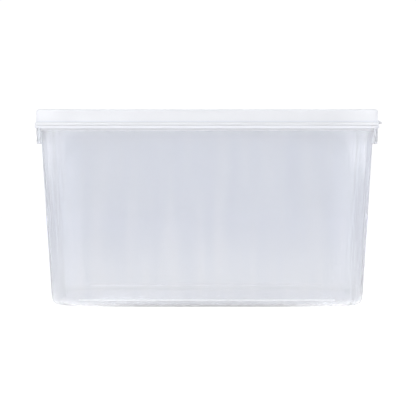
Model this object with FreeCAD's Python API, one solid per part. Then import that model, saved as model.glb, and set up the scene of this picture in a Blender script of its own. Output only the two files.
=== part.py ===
import FreeCAD, Part
import math
import os

# Food storage container: a tapered rectangular tub with a press-on lid, both moulded in plastic.
# Frame: Z up, foot on z = 0 and centred on the Z axis, long side along X, front long side at -Y.
# All sizes are in millimetres. "length" runs along X and "width" along Y.

# Tub: the tapered body, measured outside at the underside of its flange
rim_length = 292.6
rim_width = 174.0
rim_height = 155.2      # underside of the flange above the foot
draft = 3.6             # degrees that every wall leans outwards
rim_corner = 43.0       # corner radius, outside, at the flange
foot_corner = 31.0      # corner radius, outside, at the foot
wall = 1.6
floor = 1.8
foot_round = 6.5        # outside rounding between the walls and the foot

# Tub: flange all round, and the neck that the lid presses on to
flange_reach = 5.1      # beyond the wall
flange_thick = 2.3
flange_round = 0.8
neck_wall = 1.6
neck_offset = 2.05      # outside of the neck beyond the outside of the wall
neck_height = 12.8      # above the top of the flange
ledge_round = 1.2       # inside, where the neck stands on the flange

# Tub: a grip that hangs from the flange at each short end
grip_length = 62.0      # along Y
grip_drop = 14.2        # below the flange
grip_skin = 2.2
grip_draft = 1.5        # degrees
grip_corner = 4.0
grip_edge = 0.6

# Lid
lid_wall = 1.5
lid_fit = 0.4           # gap between the neck and the skirt
plug_fit = 0.3          # gap between the neck and the plug inside it
skirt_gap = 0.5         # between the flange and the lower edge of the skirt
top_round = 2.6         # outside rounding of the lid's upper edge
recess_depth = 5.0      # panel below the raised edge
recess_round = 2.2      # where the panel meets the raised edge
crown_round = 1.2       # inner edge of the raised edge
bead_reach = 1.2        # bead along the lower edge of the skirt
bead_height = 2.7
bead_round = 1.0

# Lid: thin lift lip that slopes out and down from the skirt, in place of the bead, at the +X end
lip_length = 104.0      # along Y
lip_reach = 3.65        # beyond the skirt
lip_droop = 2.0         # tip of the lip below its root
lip_thick = 1.3
lip_corner = 5.0        # at its two ends, seen from above
lip_edge = 0.35
lip_clearance = 2.7     # the skirt's lower edge above the flange, under the lip
lip_step = 0.65         # underside of the lip's root above the skirt's lower edge there

# Levels that follow from the sizes above
flange_top = rim_height + flange_thick
neck_top = flange_top + neck_height
skirt_bottom = flange_top + skirt_gap
lid_top = neck_top + lid_wall
panel_top = lid_top - recess_depth
panel_bottom = panel_top - lid_wall

# Distances of each face from the outside of the wall at the rim, outwards positive
neck_inside = neck_offset - neck_wall
plug_outside = neck_inside - plug_fit
recess_side = plug_outside - lid_wall
skirt_inside = neck_offset + lid_fit
skirt_outside = skirt_inside + lid_wall
bead_outside = skirt_outside + bead_reach
channel_round = top_round - lid_wall        # keeps the skirt as thick round its upper corner
neck_round = channel_round - lid_fit        # lets the neck seat in that corner

spare = 5.0             # how far a cutting block stands past what it cuts
flat = 1e-4             # tolerance for telling whether an edge lies at one level


def vector(x, y, z):
    return FreeCAD.Vector(x, y, z)


def outline(length, width, corner, z):
    """Rounded rectangle about the Z axis, as a closed wire at height z."""
    x = length / 2 - corner
    y = width / 2 - corner
    centres = [(x, y), (-x, y), (-x, -y), (x, -y)]
    starts = []
    arcs = []
    for quarter, (centre_x, centre_y) in enumerate(centres):
        points = []
        for turn in (0, 45, 90):
            angle = math.radians(90 * quarter + turn)
            points.append(vector(centre_x + corner * math.cos(angle),
                                 centre_y + corner * math.sin(angle), z))
        starts.append(points[0])
        arcs.append((Part.Arc(*points).toShape(), points[2]))
    edges = []
    for quarter, (arc, end) in enumerate(arcs):
        edges.append(arc)
        edges.append(Part.makeLine(end, starts[(quarter + 1) % 4]))
    return Part.Wire(edges)


def body_size(z, inset):
    """Length, width and corner radius of the tapered body at height z, inset from its outside."""
    lean = 2 * math.tan(math.radians(draft)) * (rim_height - z)
    corner = foot_corner + (rim_corner - foot_corner) * z / rim_height
    return rim_length - lean - 2 * inset, rim_width - lean - 2 * inset, corner - inset


def tapered_block(bottom, top, inset):
    """Solid inside the body's walls, from one level to another."""
    lower = outline(*body_size(bottom, inset), bottom)
    upper = outline(*body_size(top, inset), top)
    return Part.makeLoft([lower, upper], True, True)


def rim_outline(outset, z):
    """The rim's outline at a distance outside it, as a closed wire at height z."""
    return outline(rim_length + 2 * outset, rim_width + 2 * outset, rim_corner + outset, z)


def straight_block(outset, bottom, top):
    """Upright block that follows the rim's outline at a distance outside it."""
    return Part.Face(rim_outline(outset, bottom)).extrude(vector(0, 0, top - bottom))


def round_level(shape, z, radius):
    """Round every edge that lies at height z."""
    edges = edges_where(shape, lambda box: abs(box.ZMin - z) < flat and abs(box.ZMax - z) < flat)
    return shape.makeFillet(radius, edges)


def profile_block(points, half_length):
    """Block with an outline in the XZ plane, standing half_length to each side of y = 0."""
    corners = [vector(x, -half_length, z) for x, z in points]
    wire = Part.makePolygon(corners + corners[:1])
    return Part.Face(wire).extrude(vector(0, 2 * half_length, 0))


def edges_where(shape, test):
    """The edges whose bounding box passes a test."""
    return [edge for edge in shape.Edges if test(edge.BoundBox)]


def make_grip():
    """Grip at the +X end: a skin that hangs from the edge of the flange, open behind."""
    outside = rim_length / 2 + flange_reach
    top = rim_height + flange_thick / 2
    bottom = rim_height - grip_drop
    lean = (top - bottom) * math.tan(math.radians(grip_draft))
    skin = profile_block([(outside, top), (outside - grip_skin, top),
                          (outside - grip_skin - lean, bottom), (outside - lean, bottom)],
                         grip_length / 2)
    lower_corners = edges_where(skin, lambda box: box.ZMax < bottom + flat and box.YLength < flat)
    skin = skin.makeFillet(grip_corner, lower_corners)
    rims = edges_where(skin, lambda box: box.ZMin < top - flat and box.XLength < grip_skin - flat)
    return skin.makeFillet(grip_edge, rims)


def make_tub():
    body = round_level(tapered_block(0, flange_top, 0), 0, foot_round)
    flange = straight_block(flange_reach, rim_height, flange_top)
    flange = round_level(flange, rim_height, flange_round)
    flange = round_level(flange, flange_top, flange_round)
    neck = round_level(straight_block(neck_offset, flange_top, neck_top), neck_top, neck_round)
    grip = make_grip()
    other_grip = grip.mirror(vector(0, 0, 0), vector(1, 0, 0))
    outside = body.fuse([flange, neck, grip, other_grip])
    cavity = tapered_block(floor, flange_top, wall)
    cavity = round_level(cavity, floor, foot_round - wall)
    bore = straight_block(neck_inside, flange_top, neck_top + spare)
    bore = round_level(bore, flange_top, min(ledge_round, neck_inside + wall - flat))
    return outside.cut(cavity).cut(bore).removeSplitter()


def lip_zone(bottom, top):
    """Block over the +X end, as wide as the lift lip and reaching as far as its tip."""
    tip = rim_length / 2 + skirt_outside + lip_reach
    return Part.makeBox(tip, lip_length, top - bottom, vector(0, -lip_length / 2, bottom))


def make_lip():
    """Lift lip: a sloping collar that follows the skirt, kept only at the +X end."""
    start = skirt_outside - lid_wall / 2
    tip = skirt_outside + lip_reach
    slope = lip_droop / lip_reach
    root_top = flange_top + lip_clearance + lip_step + lip_thick
    tip_top = root_top - lip_droop
    start_top = tip_top + slope * (tip - start)

    def block_under(drop):
        """All that lies under the lip's upper surface, lowered by a distance."""
        cone = Part.makeLoft([rim_outline(tip, tip_top - drop),
                              rim_outline(start, start_top - drop)], True, True)
        return cone.fuse(straight_block(tip, skirt_bottom - spare, tip_top - drop))

    core = straight_block(start, skirt_bottom - spare, start_top + spare)
    collar = block_under(0).cut([block_under(lip_thick), core])
    plan = lip_zone(skirt_bottom, lid_top)
    far_side = edges_where(plan, lambda box: box.XLength < flat and box.YLength < flat
                           and box.XMin > flat)
    lip = collar.common(plan.makeFillet(lip_corner, far_side))
    rims = edges_where(lip, lambda box: box.XMax > rim_length / 2 + tip - flat
                       and box.YLength > lip_corner)
    return lip.makeFillet(lip_edge, rims)


def make_lid():
    skirt = round_level(straight_block(skirt_outside, skirt_bottom, lid_top), lid_top, top_round)
    bead = straight_block(bead_outside, skirt_bottom, skirt_bottom + bead_height)
    bead = round_level(bead, skirt_bottom, bead_round)
    bead = round_level(bead, skirt_bottom + bead_height, bead_round)
    bead = bead.cut(lip_zone(skirt_bottom - spare, lid_top))
    skirt = skirt.cut(lip_zone(skirt_bottom - spare, flange_top + lip_clearance))
    hollow = straight_block(skirt_inside, skirt_bottom - spare, neck_top)
    hollow = round_level(hollow, neck_top, channel_round)
    plug = straight_block(plug_outside, panel_bottom, neck_top)
    plug = round_level(plug, panel_bottom, recess_round + lid_wall)
    recess = straight_block(recess_side, panel_top, lid_top + spare)
    recess = round_level(recess, panel_top, recess_round)
    lid = skirt.fuse([bead, make_lip()]).cut(hollow.cut(plug)).cut(recess).removeSplitter()
    reach = rim_length / 2 + recess_side + flat
    inner_edges = edges_where(lid, lambda box: box.ZMin > lid_top - flat and box.XMax < reach)
    return lid.makeFillet(crown_round, inner_edges)


os.makedirs("parts", exist_ok=True)
for name, shape in (("tub", make_tub()), ("lid", make_lid())):
    solid = shape.Solids[0]
    solid.exportStep("parts/" + name + ".step")
    box = solid.optimalBoundingBox()
    print("%s: %d solid, valid %s, %.1f cm3, x %.2f..%.2f, y %.2f..%.2f, z %.2f..%.2f" % (
        name, len(shape.Solids), solid.isValid(), solid.Volume / 1000,
        box.XMin, box.XMax, box.YMin, box.YMax, box.ZMin, box.ZMax))
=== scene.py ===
import bpy
import bmesh
import math
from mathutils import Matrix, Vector


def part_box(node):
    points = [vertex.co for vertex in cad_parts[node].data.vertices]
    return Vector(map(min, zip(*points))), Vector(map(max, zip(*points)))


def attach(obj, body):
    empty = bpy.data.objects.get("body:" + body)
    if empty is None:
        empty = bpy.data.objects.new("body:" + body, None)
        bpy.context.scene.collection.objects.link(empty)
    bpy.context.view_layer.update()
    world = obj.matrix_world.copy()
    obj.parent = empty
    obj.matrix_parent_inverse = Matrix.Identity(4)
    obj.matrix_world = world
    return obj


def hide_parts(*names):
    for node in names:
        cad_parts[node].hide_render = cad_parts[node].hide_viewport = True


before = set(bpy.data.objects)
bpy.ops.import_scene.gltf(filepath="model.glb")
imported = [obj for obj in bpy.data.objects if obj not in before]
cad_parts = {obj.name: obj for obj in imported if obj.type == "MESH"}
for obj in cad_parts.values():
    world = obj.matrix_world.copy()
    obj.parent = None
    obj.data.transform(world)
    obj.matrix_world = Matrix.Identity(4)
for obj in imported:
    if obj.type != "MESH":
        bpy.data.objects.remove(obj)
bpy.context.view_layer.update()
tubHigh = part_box("tub")[1]
lidLow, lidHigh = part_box("lid")
mm = 0.001
nearly = 0.01 * mm  # less than any distance between two points of a piece
print("frame loaded")

# The rim is the outline that tub and lid share: the outside of the walls, just under the flange.
flangeReach = 5.1 * mm
rim = {
    "halfLength": tubHigh.x - flangeReach,
    "halfWidth": tubHigh.y - flangeReach,
    "height": 155.2 * mm,
    "corner": 43 * mm,
    "footCorner": 31 * mm,
    "draft": math.radians(3.6),
}
flatWidth = rim["halfWidth"] - rim["corner"]  # from the middle of an end to where its corners begin
slope = math.tan(rim["draft"])


# A ring is one turn round the piece: half length, half width, corner radius and height.
def rimRing(outset, z):
    return (rim["halfLength"] + outset, rim["halfWidth"] + outset, rim["corner"] + outset, z)


def bodyRing(outset, z):
    lean = slope * (rim["height"] - z)
    growth = (rim["corner"] - rim["footCorner"]) / rim["height"]
    return (rim["halfLength"] - lean + outset, rim["halfWidth"] - lean + outset,
            rim["footCorner"] + growth * z + outset, z)


# The last number given to spread and to arcPoints is the number of steps.
def spread(first, last, steps):
    return [first + (last - first) * i / steps for i in range(steps + 1)]


def arcPoints(centre, radius, fromDegrees, toDegrees, steps):
    points = []
    for degrees in spread(fromDegrees, toDegrees, steps):
        angle = math.radians(degrees)
        points.append((centre[0] + radius * math.cos(angle), centre[1] + radius * math.sin(angle)))
    return points


sharpAngle = math.radians(38)  # edges that bend more than this stay sharp
longSteps = 16
cornerSteps = 30
lipEnds = (0.075, 0.085, 0.095, 0.105, 0.112, 0.12)  # closer stops where the lip dies into the bead
cornerStops = sorted(set(spread(0, 1, cornerSteps)
                         + [stop for end in lipEnds for stop in (end, 1 - end)]))


# A station is a side and a share of it: side 0 is +X, 1 the corner after it, and so on round.
def makeStations(endStops):
    ends = [-stop for stop in reversed(endStops[1:])] + list(endStops)
    stations = []
    for side in range(8):
        if side % 2:
            shares = cornerStops
        elif side % 4:
            shares = spread(-1, 1, longSteps)
        else:
            shares = ends
        stations += [(side, share) for share in shares[:-1]]
    return stations


def stationPoint(ring, station):
    halfLength, halfWidth, corner, z = ring
    side, share = station
    x, y = halfLength - corner, halfWidth - corner
    quarter = side // 2
    if side % 2 == 0:
        places = [(halfLength, share * y), (-share * x, halfWidth),
                  (-halfLength, -share * y), (share * x, -halfWidth)]
        return Vector((*places[quarter], z))
    angle = math.pi / 2 * (quarter + share)
    signs = [(1, 1), (-1, 1), (-1, -1), (1, -1)][quarter]
    return Vector((signs[0] * x + corner * math.cos(angle),
                   signs[1] * y + corner * math.sin(angle), z))


# Rings come with a tag, or None, that tells reshape what to do with them at a station.
def meshFromRings(name, rings, stations, reshape):
    bm = bmesh.new()
    turns = []
    for tag, ring in rings:
        turns.append([bm.verts.new(stationPoint(reshape(tag, ring, station), station))
                      for station in stations])
    for near, far in zip(turns, turns[1:]):
        for i in range(len(stations)):
            j = (i + 1) % len(stations)
            bm.faces.new((near[i], near[j], far[j], far[i]))
    bm.faces.new(turns[0])
    bm.faces.new(turns[-1])
    bmesh.ops.recalc_face_normals(bm, faces=bm.faces)
    mesh = bpy.data.meshes.new(name)
    bm.to_mesh(mesh)
    bm.free()
    mesh.shade_smooth()
    mesh.set_sharp_from_angle(angle=sharpAngle)
    piece = bpy.data.objects.new(name, mesh)
    bpy.context.collection.objects.link(piece)
    return piece


tubShape = {
    "wall": 1.6 * mm,
    "floor": 1.8 * mm,
    "footRound": 6.5 * mm,
    "flangeThick": 2.3 * mm,
    "flangeRound": 0.3 * mm,
    "flangeRoundTop": 0.25 * mm,
    "neckWall": 1.6 * mm,
    "neckOffset": 2.05 * mm,
    "neckRound": 0.7 * mm,
    "ledgeRound": 1.2 * mm,
    "softEdge": 0.35 * mm,
    "rootRound": 0.15 * mm,  # where the wall meets the underside of the flange
    "rimMilkAndLight": 2.2 * mm,  # how far below the rim the wall gets the paler finish: the thick rim's milkiness and painted light through the flange
    "footLine": 0.9 * mm,  # height of the narrow turn of faces above the foot's rounding, which carries a painted highlight
    "gripHalf": 31 * mm,
    "gripDrop": 14.2 * mm,
    "gripSkin": 2.2 * mm,
    "gripLean": math.tan(math.radians(1.5)),
    "gripCorner": 4 * mm,
    "gripEdge": 0.6 * mm,
    "gripFlat": 0.15 * mm,  # flat on the grip's lower edge, before its inner rounding
    "gripRoot": 0.3 * mm,  # flat under the flange, behind the grip
    "gripSide": 0.02 * mm,  # how far the grip's back and sides are from upright
    "gripStops": (0, 8 * mm, 16 * mm, 22 * mm),
    "gripCornerStops": (18, 36, 52, 66, 78, 90),  # degrees round the grip's lower corner
    "besideGrip": 2 * mm,
    "endStop": 38 * mm,
}


# rounding between floor and wall, as (outset from the body, height)
def footArc(inset, floorLevel, radius, steps):
    draft = rim["draft"]
    across = (-inset + radius * (1 - math.sin(draft)) * slope - radius * math.cos(draft)
              + floorLevel * slope)
    points = arcPoints((across, floorLevel + radius), radius, -90, -math.degrees(draft), steps)
    return [(x - z * slope, z) for x, z in points]


def tubRings():
    s = tubShape
    neckTop = tubHigh.z
    under = rim["height"]
    flangeTop = under + s["flangeThick"]
    soft = s["softEdge"]
    rings = []

    def body(points):
        rings.extend((None, bodyRing(outset, z)) for outset, z in points)

    def atRim(points, tag=None):
        rings.extend((tag, rimRing(outset, z)) for outset, z in points)

    # inside: foot, wall, ledge under the neck, neck
    inner = footArc(s["wall"], s["floor"], s["footRound"] - s["wall"], 8)
    body(inner)
    body([(-s["wall"], z) for z in spread(inner[-1][1], flangeTop - soft, 9)[1:]])
    innerEdge = -s["wall"] + s["flangeThick"] * slope
    atRim(arcPoints((innerEdge + soft, flangeTop - soft), soft, 150, 90, 2))
    neckInside = s["neckOffset"] - s["neckWall"]
    edge = s["ledgeRound"]
    atRim(arcPoints((neckInside - edge, flangeTop + edge), edge, -90, 0, 5))
    atRim(arcPoints((neckInside + soft, neckTop - soft), soft, 180, 90, 3))

    # outside: neck, flange, and the grips that hang from the flange's edge
    edge = s["neckRound"]
    atRim(arcPoints((s["neckOffset"] - edge, neckTop - edge), edge, 90, 0, 4))
    atRim(arcPoints((s["neckOffset"] + soft, flangeTop + soft), soft, 180, 270, 3))
    edge = s["flangeRoundTop"]
    atRim(arcPoints((flangeReach - edge, flangeTop - edge), edge, 90, 0, 4))
    edge = s["flangeRound"]
    atRim(arcPoints((flangeReach - edge, under + edge), edge, 0, -90, 4), "gripOutside")
    edge = s["gripEdge"]
    inside = flangeReach - s["gripSkin"]
    turn = [edge + s["gripFlat"], edge, edge / 2, edge / 6, 0]
    atRim([(inside + outset, under) for outset in turn], "gripInside")
    atRim([(inside - s["gripSide"], under), (inside - s["gripRoot"], under)])

    # outside: wall and foot
    root = s["rootRound"]
    atRim(arcPoints((root, under - root), root, 90, 180, 4))
    outer = footArc(0, 0, s["footRound"], 10)
    footTop = outer[-1][1]
    milkAndLightEnd = under - s["rimMilkAndLight"]
    body([(0, z) for z in spread(under - root - soft, milkAndLightEnd, 2)])
    body([(0, z) for z in spread(milkAndLightEnd, footTop + s["footLine"], 12)[1:]])
    body([(0, footTop)])
    body(list(reversed(outer))[1:])
    return rings


# pulls the flange's edge down into a grip at both ends
def gripReshape(tag, ring, station):
    side, share = station
    s = tubShape
    y = abs(share) * flatWidth
    if tag is None or side not in (0, 4) or y > s["gripHalf"] + nearly:
        return ring
    past = max(0, y - (s["gripHalf"] - s["gripCorner"])) / s["gripCorner"]
    drop = s["gripDrop"] - s["gripCorner"] * (1 - math.sqrt(max(0, 1 - past * past)))
    outset = ring[0] - rim["halfLength"]
    z = ring[3] - drop
    inside = flangeReach - s["gripSkin"]
    edge = s["gripEdge"]
    if tag == "gripInside" and outset < inside + edge + nearly:
        rise = 1 - (outset - inside) / edge
        z = rim["height"] - drop + edge * (1 - math.sqrt(max(0, 1 - rise * rise)))
    return rimRing(outset - drop * s["gripLean"], z)


def makeTub():
    s = tubShape
    corner = s["gripHalf"] - s["gripCorner"]
    stops = [*s["gripStops"], corner]
    stops += [corner + s["gripCorner"] * math.sin(math.radians(angle))
              for angle in s["gripCornerStops"]]
    stops += [s["gripHalf"] + s["gripSide"], s["gripHalf"] + s["besideGrip"], s["endStop"],
              flatWidth]
    stations = makeStations([stop / flatWidth for stop in stops])
    return meshFromRings("tubShell", tubRings(), stations, gripReshape)


lidShape = {
    "wall": 1.5 * mm,
    "fit": 0.4 * mm,  # between the neck and the skirt
    "plugFit": 0.3 * mm,  # between the neck and the plug wall inside it
    "topRound": 2.6 * mm,
    "recessDepth": 5 * mm,
    "recessRound": 2.2 * mm,
    "crownRound": 1.2 * mm,
    "softEdge": 0.3 * mm,
    "beadReach": 1.2 * mm,
    "beadHeight": 2.7 * mm,
    "beadRound": 1.0 * mm,
    "beadUnder": 0.3 * mm,
    "beadRoot": ((0.1 * mm, 0.05 * mm), (0, 0.3 * mm)),  # out from the skirt, up from the bead
    "seamCloses": 0.25 * mm,  # how far the bead comes down towards the flange
    "lipHalf": 52 * mm,
    "lipReach": 3.65 * mm,
    "lipDroop": 2.0 * mm,
    "lipThick": 1.3 * mm,
    "lipCorner": 5 * mm,
    "lipClearance": 2.7 * mm,
    "lipStep": 0.65 * mm,
    "lipFade": 1.5 * mm,
    # profile of the lip, as (in from the tip, up from the tip's underside or top)
    "lipUnder": ((0.5 * mm, 0.27 * mm), (0.15 * mm, 0.22 * mm), (0, 0.5 * mm)),
    "lipOver": ((0, -0.25 * mm), (0.12 * mm, -0.02 * mm), (0.4 * mm, 0.2 * mm),
                (0.9 * mm, 0.5 * mm)),
    "lipHeel": 0.02 * mm,
    # and of its root, as (out from the skirt, up from the root's top)
    "lipRoot": ((0.3 * mm, -0.14 * mm), (0, 0.15 * mm)),
    "endStops": (0, 10 * mm, 20 * mm, 29 * mm, 36 * mm, 41 * mm),
}


def lidRings():
    s = lidShape
    wall = s["wall"]
    top = lidHigh.z
    neckTop = top - wall
    bottom = lidLow.z - s["seamCloses"]
    neckOutside = tubShape["neckOffset"]
    plug = neckOutside - tubShape["neckWall"] - s["plugFit"]
    skirtInside = neckOutside + s["fit"]
    skirt = skirtInside + wall
    panel = top - s["recessDepth"]
    soft = s["softEdge"]

    # underside: panel, plug wall, and the channel that takes the neck
    radius = s["recessRound"] + wall
    points = arcPoints((plug - radius, panel - wall + radius), radius, -90, 0, 7)
    points += arcPoints((plug + soft, neckTop - soft), soft, 180, 90, 2)
    radius = s["topRound"] - wall
    points += arcPoints((skirtInside - radius, neckTop - radius), radius, 90, 0, 4)
    rings = [(None, rimRing(*point)) for point in points]

    # lower edge of the skirt with its bead, and the lip that takes the bead's place
    edge = s["beadRound"]
    under = s["beadUnder"]
    reach = skirt + s["beadReach"]
    beadTop = bottom + s["beadHeight"]
    bead = [(skirtInside, bottom + soft), (skirtInside + soft, bottom), (skirt, bottom)]
    bead += arcPoints((reach - under, bottom + under), under, -90, 0, 3)
    bead += arcPoints((reach - edge, beadTop - edge), edge, 0, 80, 3)
    bead += [(skirt + out, beadTop + up) for out, up in s["beadRoot"]]
    lower = rim["height"] + tubShape["flangeThick"] + s["lipClearance"]
    rootUnder = lower + s["lipStep"]
    rootTop = rootUnder + s["lipThick"]
    tip = skirt + s["lipReach"]
    lip = [(skirtInside, lower + soft), (skirtInside + soft, lower), (skirt, lower),
           (skirt + s["lipHeel"], rootUnder)]
    lip += [(tip - back, rootUnder - s["lipDroop"] + up) for back, up in s["lipUnder"]]
    lip += [(tip - back, rootTop - s["lipDroop"] + up) for back, up in s["lipOver"]]
    lip += [(skirt + out, rootTop + up) for out, up in s["lipRoot"]]
    for beadPoint, lipPoint in zip(bead, lip):
        rings.append(((skirt, beadPoint, lipPoint), rimRing(*beadPoint)))

    # outside: skirt, rounded top edge, and down into the sunk panel
    radius = s["topRound"]
    points = arcPoints((skirt - radius, top - radius), radius, 0, 90, 7)
    inside = plug - wall
    radius = s["crownRound"]
    points += arcPoints((inside + radius, top - radius), radius, 90, 180, 5)
    radius = s["recessRound"]
    points += arcPoints((inside - radius, panel + radius), radius, 0, -90, 6)
    rings += [(None, rimRing(*point)) for point in points]
    return rings


# turns the bead into the lift lip at the +X end
def lipReshape(tag, ring, station):
    side, share = station
    s = lidShape
    if tag is None or side not in (0, 1, 7):
        return ring
    skirt, beadPoint, lipPoint = tag
    bend = (rim["corner"] + skirt) * math.pi / 2
    along = {0: abs(share) * flatWidth, 1: flatWidth + share * bend,
             7: flatWidth + (1 - share) * bend}[side]
    fromEnd = s["lipHalf"] - along
    fade = min(1, max(0, 1 + fromEnd / s["lipFade"]))
    inwards = min(1, max(0, fromEnd / s["lipCorner"]))
    grown = math.sqrt(1 - (1 - inwards) ** 2)
    outset, z = lipPoint
    if outset > skirt:
        drooped = (outset - skirt) / s["lipReach"] * s["lipDroop"]
        z += drooped * (1 - grown)
        outset = skirt + (outset - skirt) * grown
    return rimRing(beadPoint[0] + (outset - beadPoint[0]) * fade,
                   beadPoint[1] + (z - beadPoint[1]) * fade)


def makeLid():
    stops = [*lidShape["endStops"], flatWidth]
    stations = makeStations([stop / flatWidth for stop in stops])
    return meshFromRings("lidShell", lidRings(), stations, lipReshape)


# Shared finishes. Each group works in the piece's own metres.
def makeGroup(name, inputs, outputs):
    group = bpy.data.node_groups.new(name, "ShaderNodeTree")
    for label, value in inputs.items():
        socket = group.interface.new_socket(name=label, in_out="INPUT",
                                            socket_type="NodeSocketFloat")
        socket.default_value = value
    for label in outputs:
        group.interface.new_socket(name=label, in_out="OUTPUT", socket_type="NodeSocketFloat")
    given = group.nodes.new("NodeGroupInput")
    wanted = group.nodes.new("NodeGroupOutput")
    return group, given.outputs, wanted.inputs


def addNode(tree, kind, feeds=None, **settings):
    node = tree.nodes.new(kind)
    for key, value in settings.items():
        setattr(node, key, value)
    for socket, source in (feeds or {}).items():
        if isinstance(source, bpy.types.NodeSocket):
            tree.links.new(source, node.inputs[socket])
        else:
            node.inputs[socket].default_value = source
    return node


def maths(tree, operation, first, second=0.0, third=None):
    feeds = {0: first, 1: second}
    if third is not None:
        feeds[2] = third
    return addNode(tree, "ShaderNodeMath", feeds, operation=operation).outputs[0]


def remap(tree, value, low, high, toLow=0.0, toHigh=1.0, smooth=True):
    feeds = {"Value": value, "From Min": low, "From Max": high, "To Min": toLow, "To Max": toHigh}
    kind = "SMOOTHSTEP" if smooth else "LINEAR"
    return addNode(tree, "ShaderNodeMapRange", feeds, interpolation_type=kind).outputs["Result"]


def noiseAt(tree, vector, scale, detail=2.0, roughness=0.5):
    feeds = {"Vector": vector, "Scale": scale, "Detail": detail, "Roughness": roughness}
    return addNode(tree, "ShaderNodeTexNoise", feeds).outputs["Fac"]


def pieceSpot(tree):
    return addNode(tree, "ShaderNodeTexCoord").outputs["Object"]


def splitParts(tree, vector):
    return addNode(tree, "ShaderNodeSeparateXYZ", {0: vector}).outputs


# lines that the melt leaves as it runs up the walls
def makeFlowLines():
    tree, given, wanted = makeGroup("flowLines", {"Scale": 90, "Stretch": 0.06, "Softness": 0.12},
                                    ["Lines"])
    parts = splitParts(tree, pieceSpot(tree))
    squeezed = maths(tree, "MULTIPLY", parts["Z"], given["Stretch"])
    along = addNode(tree, "ShaderNodeCombineXYZ", {"X": parts["X"], "Y": parts["Y"], "Z": squeezed})
    field = noiseAt(tree, along.outputs[0], given["Scale"], detail=3.0, roughness=0.6)
    low = maths(tree, "SUBTRACT", 0.5, given["Softness"])
    high = maths(tree, "ADD", 0.5, given["Softness"])
    tree.links.new(remap(tree, field, low, high), wanted["Lines"])
    return tree


# fine grain of the mould and the long waves of a wall that shrank as it cooled
def makeMouldSkin():
    tree, given, wanted = makeGroup("mouldSkin", {"Grain Size": 0.0007, "Wave Size": 0.035,
                                                  "Grain Share": 0.1}, ["Height"])
    spot = pieceSpot(tree)
    grain = noiseAt(tree, spot, maths(tree, "DIVIDE", 1.0, given["Grain Size"]))
    waves = noiseAt(tree, spot, maths(tree, "DIVIDE", 1.0, given["Wave Size"]), detail=1.0)
    share = given["Grain Share"]
    rest = maths(tree, "SUBTRACT", 1.0, share)
    height = maths(tree, "MULTIPLY_ADD", grain, share, maths(tree, "MULTIPLY", waves, rest))
    tree.links.new(height, wanted["Height"])
    return tree


# faint patches from washing and stacking
def makeHandling():
    tree, given, wanted = makeGroup("handling", {"Patch Size": 0.05}, ["Patches"])
    scale = maths(tree, "DIVIDE", 1.0, given["Patch Size"])
    patch = noiseAt(tree, pieceSpot(tree), scale, detail=4.0, roughness=0.62)
    tree.links.new(remap(tree, patch, low=0.42, high=0.72), wanted["Patches"])
    return tree


# soft band that rises from one level to another; the materials paint light with it at the rim and
# the foot
def makeLevelBand():
    tree, given, wanted = makeGroup("levelBand", {"From": 0.1, "To": 0.12}, ["Band"])
    level = splitParts(tree, pieceSpot(tree))["Z"]
    tree.links.new(remap(tree, level, given["From"], given["To"]), wanted["Band"])
    return tree


# thin line at one level, for painted shade along a crease
def makeCreaseLine():
    tree, given, wanted = makeGroup("creaseLine", {"Level": 0.16, "Half Width": 0.0005}, ["Line"])
    level = splitParts(tree, pieceSpot(tree))["Z"]
    off = maths(tree, "ABSOLUTE", maths(tree, "SUBTRACT", level, given["Level"]))
    tree.links.new(remap(tree, off, given["Half Width"], 0.0), wanted["Line"])
    return tree


groups = {"flowLines": makeFlowLines(), "mouldSkin": makeMouldSkin(),
          "handling": makeHandling(), "levelBand": makeLevelBand(),
          "creaseLine": makeCreaseLine()}
print("shared finishes made:", len(groups))


# one shared finish in a material, with that material's own values
def placeFinish(tree, groupName, values):
    node = tree.nodes.new("ShaderNodeGroup")
    node.node_tree = groups[groupName]
    for label, value in values.items():
        node.inputs[label].default_value = value
    return node.outputs


def blendColours(tree, mask, first, second):
    node = tree.nodes.new("ShaderNodeMix")
    node.data_type = "RGBA"
    sockets = {socket.identifier: socket for socket in node.inputs}
    for identifier, value in (("Factor_Float", mask), ("A_Color", first), ("B_Color", second)):
        if isinstance(value, bpy.types.NodeSocket):
            tree.links.new(value, sockets[identifier])
        else:
            sockets[identifier].default_value = (*value, 1)
    return next(socket for socket in node.outputs if socket.identifier == "Result_Color")


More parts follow.
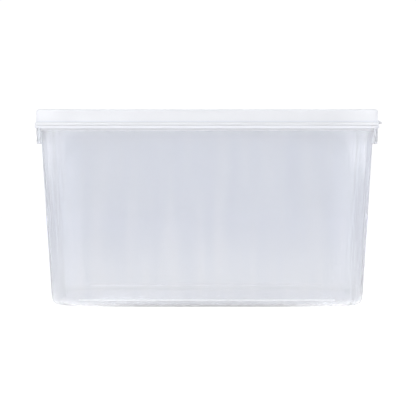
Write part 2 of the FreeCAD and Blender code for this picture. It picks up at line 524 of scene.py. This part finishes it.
def plasticMaterial(name, look):
    material = bpy.data.materials.new(name)
    material.use_nodes = True
    tree = material.node_tree
    shader = tree.nodes["Principled BSDF"]
    shader.inputs["Transmission Weight"].default_value = look["transmission"]
    shader.inputs["IOR"].default_value = look["bending"]

    flow = placeFinish(tree, "flowLines", {"Scale": look["flowScale"],
                                           "Stretch": look["flowStretch"]})["Lines"]
    skin = placeFinish(tree, "mouldSkin", {"Grain Size": look["grainSize"],
                                           "Wave Size": look["waveSize"],
                                           "Grain Share": look["grainShare"]})["Height"]
    wear = placeFinish(tree, "handling", {"Patch Size": look["patchSize"]})["Patches"]
    # paler band towards the rim: partly the milkier thick plastic, partly painted light
    milkAndLight = placeFinish(tree, "levelBand", {"From": look["milkAndLightFrom"], "To": look["milkAndLightTo"]})["Band"]
    lowPaintedLight = placeFinish(tree, "levelBand", {"From": look["footFrom"], "To": look["footTo"]})["Band"]

    colour = blendColours(tree, maths(tree, "MULTIPLY", flow, look["flowColour"]),
                          look["clear"], look["milky"])
    # painted light towards the foot, and on the lid under the bead
    colour = blendColours(tree, maths(tree, "MULTIPLY", lowPaintedLight, look["footColour"]),
                          colour, look["rimMilkAndLight"])
    # painted light towards the rim, with the milkier thick plastic
    colour = blendColours(tree, maths(tree, "MULTIPLY", milkAndLight, look["milkAndLightColour"]),
                          colour, look["rimMilkAndLight"])
    # painted shade along a crease
    if "creaseLevel" in look:
        crease = placeFinish(tree, "creaseLine", {"Level": look["creaseLevel"],
                                                  "Half Width": look["creaseHalf"]})["Line"]
        colour = blendColours(tree, maths(tree, "MULTIPLY", crease, look["creaseShadeDepth"]),
                              colour, look["paintedCreaseShade"])
    tree.links.new(colour, shader.inputs["Base Color"])

    rough = maths(tree, "MULTIPLY_ADD", wear, look["patchHaze"], look["roughness"])
    rough = maths(tree, "MULTIPLY_ADD", flow, look["flowHaze"], rough)
    rough = maths(tree, "MULTIPLY_ADD", milkAndLight, look["milkHaze"], rough)
    tree.links.new(rough, shader.inputs["Roughness"])

    height = maths(tree, "MULTIPLY_ADD", flow, look["flowHeight"], skin)
    bump = addNode(tree, "ShaderNodeBump", {"Height": height, "Strength": look["bumpStrength"],
                                            "Distance": look["bumpDepth"]})
    tree.links.new(bump.outputs[0], shader.inputs["Normal"])
    return material


tubLook = {
    "clear": (0.94, 0.951, 0.977),
    "milky": (0.965, 0.972, 0.987),
    "rimMilkAndLight": (0.975, 0.98, 0.992),
    "transmission": 0.85,
    "bending": 1.49,
    "roughness": 0.07,
    "flowScale": 90,
    "flowStretch": 0.06,
    "flowColour": 1.0,
    "flowHaze": 0.02,
    "flowHeight": 0.7,
    "patchSize": 0.05,
    "patchHaze": 0.02,
    "grainSize": 0.0008,
    "waveSize": 0.03,
    "grainShare": 0.0,
    "bumpStrength": 0.5,
    "bumpDepth": 0.0004,
    # paler towards the bottom: painted light
    "footFrom": 0.012,
    "footTo": 0.004,
    "footColour": 1.0,
    # paler towards the rim: painted light through the flange, with the milkier thick rim
    "milkAndLightFrom": 0.138,
    "milkAndLightTo": 0.157,
    "milkAndLightColour": 0.9,
    "milkHaze": 0.1,
}
# the same plastic, paler and more diffuse, on the rim, which is thick and also gets painted light,
# and on the line round the foot, where the paler colour is a painted highlight
thickAndPaintedLightLook = dict(tubLook, clear=(0.975, 0.98, 0.992), milky=(0.98, 0.985, 0.995),
                 transmission=0.5, roughness=0.32)
# and on the grips, which have a ground finish
gripLook = dict(tubLook, clear=(0.98, 0.985, 0.995), milky=(0.985, 0.99, 0.995),
                transmission=1.0, roughness=0.9, milkHaze=0.0)
lidLook = {
    "clear": (0.937, 0.938, 0.936),
    "milky": (0.956, 0.957, 0.954),
    "rimMilkAndLight": (0.97, 0.97, 0.965),
    "transmission": 0.5,
    "bending": 1.49,
    "roughness": 0.33,
    "flowScale": 60,
    "flowStretch": 0.5,
    "flowColour": 0.4,
    "flowHaze": 0.03,
    "flowHeight": 0.0,
    "patchSize": 0.04,
    "patchHaze": 0.05,
    "grainSize": 0.0006,
    "waveSize": 0.04,
    "grainShare": 0.05,
    "bumpStrength": 0.5,
    "bumpDepth": 0.0001,
    # painted shade in the crease above the bead
    "creaseLevel": 0.1612,
    "creaseHalf": 0.0009,
    "creaseShadeDepth": 0.8,
    "paintedCreaseShade": (0.8, 0.82, 0.86),
    # paler under the bead: painted light lifting the shade of the seam
    "footFrom": 0.16,
    "footTo": 0.158,
    "footColour": 0.3,
    # paler over the skirt and top: painted highlight, with the milkier plastic
    "milkAndLightFrom": 0.158,
    "milkAndLightTo": 0.166,
    "milkAndLightColour": 0.4,
    "milkHaze": 0.03,
}
tubFinishes = {
    "outsideDepth": 0.5 * mm,  # a face no deeper than this counts as outside
    # the line above the foot's rounding gets the paler finish as a painted highlight
    "footLineFrom": 6.0 * mm,
    "footLineTo": 7.7 * mm,
    "gripPast": 0.6 * mm,  # the grips lie further out than this past the rim
    "gripAbove": 130 * mm,
}


# which of the tub's three finishes a face has, as the number of its material
def finishOf(face):
    s = tubFinishes
    x, y, z = face.center
    past = max(abs(x) - rim["halfLength"], abs(y) - rim["halfWidth"])
    outside = past > slope * (z - rim["height"]) - s["outsideDepth"]
    # the rim band and the foot line get the paler finish: painted light, with the milkier thick rim
    onFootLine = s["footLineFrom"] < z < s["footLineTo"] and outside
    if z > rim["height"] - tubShape["rimMilkAndLight"] or onFootLine:
        return 1
    if abs(x) > rim["halfLength"] + s["gripPast"] and z > s["gripAbove"]:
        return 2
    return 0


tub = makeTub()
tub.data.materials.append(plasticMaterial("naturalPlastic", tubLook))
tub.data.materials.append(plasticMaterial("thickPlasticAndPaintedLight", thickAndPaintedLightLook))
tub.data.materials.append(plasticMaterial("gripPlastic", gripLook))
for face in tub.data.polygons:
    face.material_index = finishOf(face)
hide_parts("tub")
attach(tub, "root")
print("tub made:", len(tub.data.polygons), "faces")

lid = makeLid()
lid.data.materials.append(plasticMaterial("milkyPlastic", lidLook))
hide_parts("lid")
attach(lid, "root")
print("lid made:", len(lid.data.polygons), "faces")

studio = {
    "floorRadius": 1.6,
    "floorSegments": 96,
    "floorRise": 0.02 * mm,  # keeps the foot and the table from lying in one plane
    "floorColour": (0.1, 0.1, 0.1),
    "floorRoughness": 0.9,
    "floorGlow": 0.56,
    "floorSeen": 0.4,  # added where the camera looks straight at the floor
    "glowNear": (1.0, 1.0, 1.015),
    "glowFar": (0.893, 0.913, 1.03),
    "glowRange": (0.2, 1.5),
    "ringGlow": 0.5,  # a brighter half ring on the floor in front of the tub
    "ringStretch": (1, 1.6, 1),
    "ringBegins": (0.12, 0.17),
    "ringEnds": (0.3, 0.7),
    "ringDepth": (0.06, -0.06),
    "worldColour": (0.895, 0.918, 1.0),
    "worldLight": 0.797,
    "worldLow": 0.91,  # share of the light that is left below the horizon
    "worldLowFrom": -0.045,
    "worldLeft": 1.6,
    "worldRight": 1.5,
    "worldSides": (0.1, 0.95),
    "worldSeen": 1.05,
    "cameraPlace": (0.0008, -1.805, 0.1624),
    "focal": 173.0769,
    "sensor": 36,
    "pitch": math.radians(2.51939),
    "lightTarget": (0, 0, 0.1),
}
# place, size and power of each light box
lightBoxes = {
    "topBox": ((0, 0, 1.6), (1.6, 1.2), 4.5),
    "leftBox": ((-1.15, -0.2, 0.35), (1.8, 1.0), 5.8),
    "rightBox": ((1.15, -0.2, 0.35), (1.8, 1.0), 7.8),
    "frontBox": ((-0.5, -1.9, 0.75), (0.9, 0.4), 11.5),
}


def floorMaterial():
    material = bpy.data.materials.new("paleFloor")
    material.use_nodes = True
    tree = material.node_tree
    shader = tree.nodes["Principled BSDF"]
    shader.inputs["Base Color"].default_value = (*studio["floorColour"], 1)
    shader.inputs["Roughness"].default_value = studio["floorRoughness"]
    spot = pieceSpot(tree)
    away = addNode(tree, "ShaderNodeVectorMath", {0: spot}, operation="LENGTH").outputs["Value"]
    glow = blendColours(tree, remap(tree, away, *studio["glowRange"], smooth=False),
                        studio["glowNear"], studio["glowFar"])
    tree.links.new(glow, shader.inputs["Emission Color"])

    stretched = addNode(tree, "ShaderNodeVectorMath", {0: spot, 1: studio["ringStretch"]},
                        operation="MULTIPLY").outputs["Vector"]
    around = addNode(tree, "ShaderNodeVectorMath", {0: stretched},
                     operation="LENGTH").outputs["Value"]
    ringOn = remap(tree, around, *studio["ringBegins"])
    ringOff = remap(tree, around, *studio["ringEnds"], studio["ringGlow"], 0.0)
    inFront = remap(tree, splitParts(tree, spot)["Y"], *studio["ringDepth"])
    ringOff = maths(tree, "MULTIPLY", ringOff, inFront)
    path = addNode(tree, "ShaderNodeLightPath")
    strength = maths(tree, "MULTIPLY_ADD", path.outputs["Is Camera Ray"], studio["floorSeen"],
                     studio["floorGlow"])
    strength = maths(tree, "MULTIPLY_ADD", ringOn, ringOff, strength)
    tree.links.new(strength, shader.inputs["Emission Strength"])
    return material


def makeFloor():
    bm = bmesh.new()
    bmesh.ops.create_circle(bm, cap_ends=True, segments=studio["floorSegments"],
                            radius=studio["floorRadius"])
    mesh = bpy.data.meshes.new("paleFloor")
    bm.to_mesh(mesh)
    bm.free()
    mesh.materials.append(floorMaterial())
    floor = bpy.data.objects.new("paleFloor", mesh)
    floor.location.z = studio["floorRise"]
    bpy.context.collection.objects.link(floor)


# soft light from all round, stronger from the sides, and plain white where the camera sees it
def makeWorld():
    world = bpy.data.worlds.new("softStudio")
    bpy.context.scene.world = world
    world.use_nodes = True
    tree = world.node_tree
    light = tree.nodes["Background"]
    light.inputs["Color"].default_value = (*studio["worldColour"], 1)
    way = splitParts(tree, addNode(tree, "ShaderNodeTexCoord").outputs["Generated"])
    full = studio["worldLight"]
    fade = remap(tree, way["Z"], studio["worldLowFrom"], 0.0, full * studio["worldLow"], full,
                 smooth=False)
    near, far = studio["worldSides"]
    left = remap(tree, way["X"], -near, -far, 1.0, studio["worldLeft"])
    right = remap(tree, way["X"], near, far, 1.0, studio["worldRight"])
    sides = maths(tree, "MULTIPLY", left, right)
    tree.links.new(maths(tree, "MULTIPLY", fade, sides), light.inputs["Strength"])
    seen = addNode(tree, "ShaderNodeBackground", {"Color": (1, 1, 1, 1),
                                                  "Strength": studio["worldSeen"]})
    path = addNode(tree, "ShaderNodeLightPath")
    mix = addNode(tree, "ShaderNodeMixShader", {0: path.outputs["Is Camera Ray"],
                                                1: light.outputs[0], 2: seen.outputs[0]})
    tree.links.new(mix.outputs[0], tree.nodes["World Output"].inputs["Surface"])


def makeCamera():
    data = bpy.data.cameras.new("camera")
    data.lens = studio["focal"]
    data.sensor_width = studio["sensor"]
    camera = bpy.data.objects.new("camera", data)
    bpy.context.collection.objects.link(camera)
    camera.location = studio["cameraPlace"]
    camera.rotation_euler = (math.pi / 2 - studio["pitch"], 0, 0)
    bpy.context.scene.camera = camera


def softBox(name, location, size, power):
    data = bpy.data.lights.new(name, "AREA")
    data.shape = "RECTANGLE"
    data.size, data.size_y = size
    data.energy = power
    light = bpy.data.objects.new(name, data)
    bpy.context.collection.objects.link(light)
    light.location = location
    light.visible_camera = False
    aim = Vector(studio["lightTarget"]) - Vector(location)
    light.rotation_euler = aim.to_track_quat("-Z", "Y").to_euler()


makeFloor()
makeWorld()
makeCamera()
for name, values in lightBoxes.items():
    softBox(name, *values)
bpy.context.scene.view_settings.view_transform = "Standard"
print("studio made")
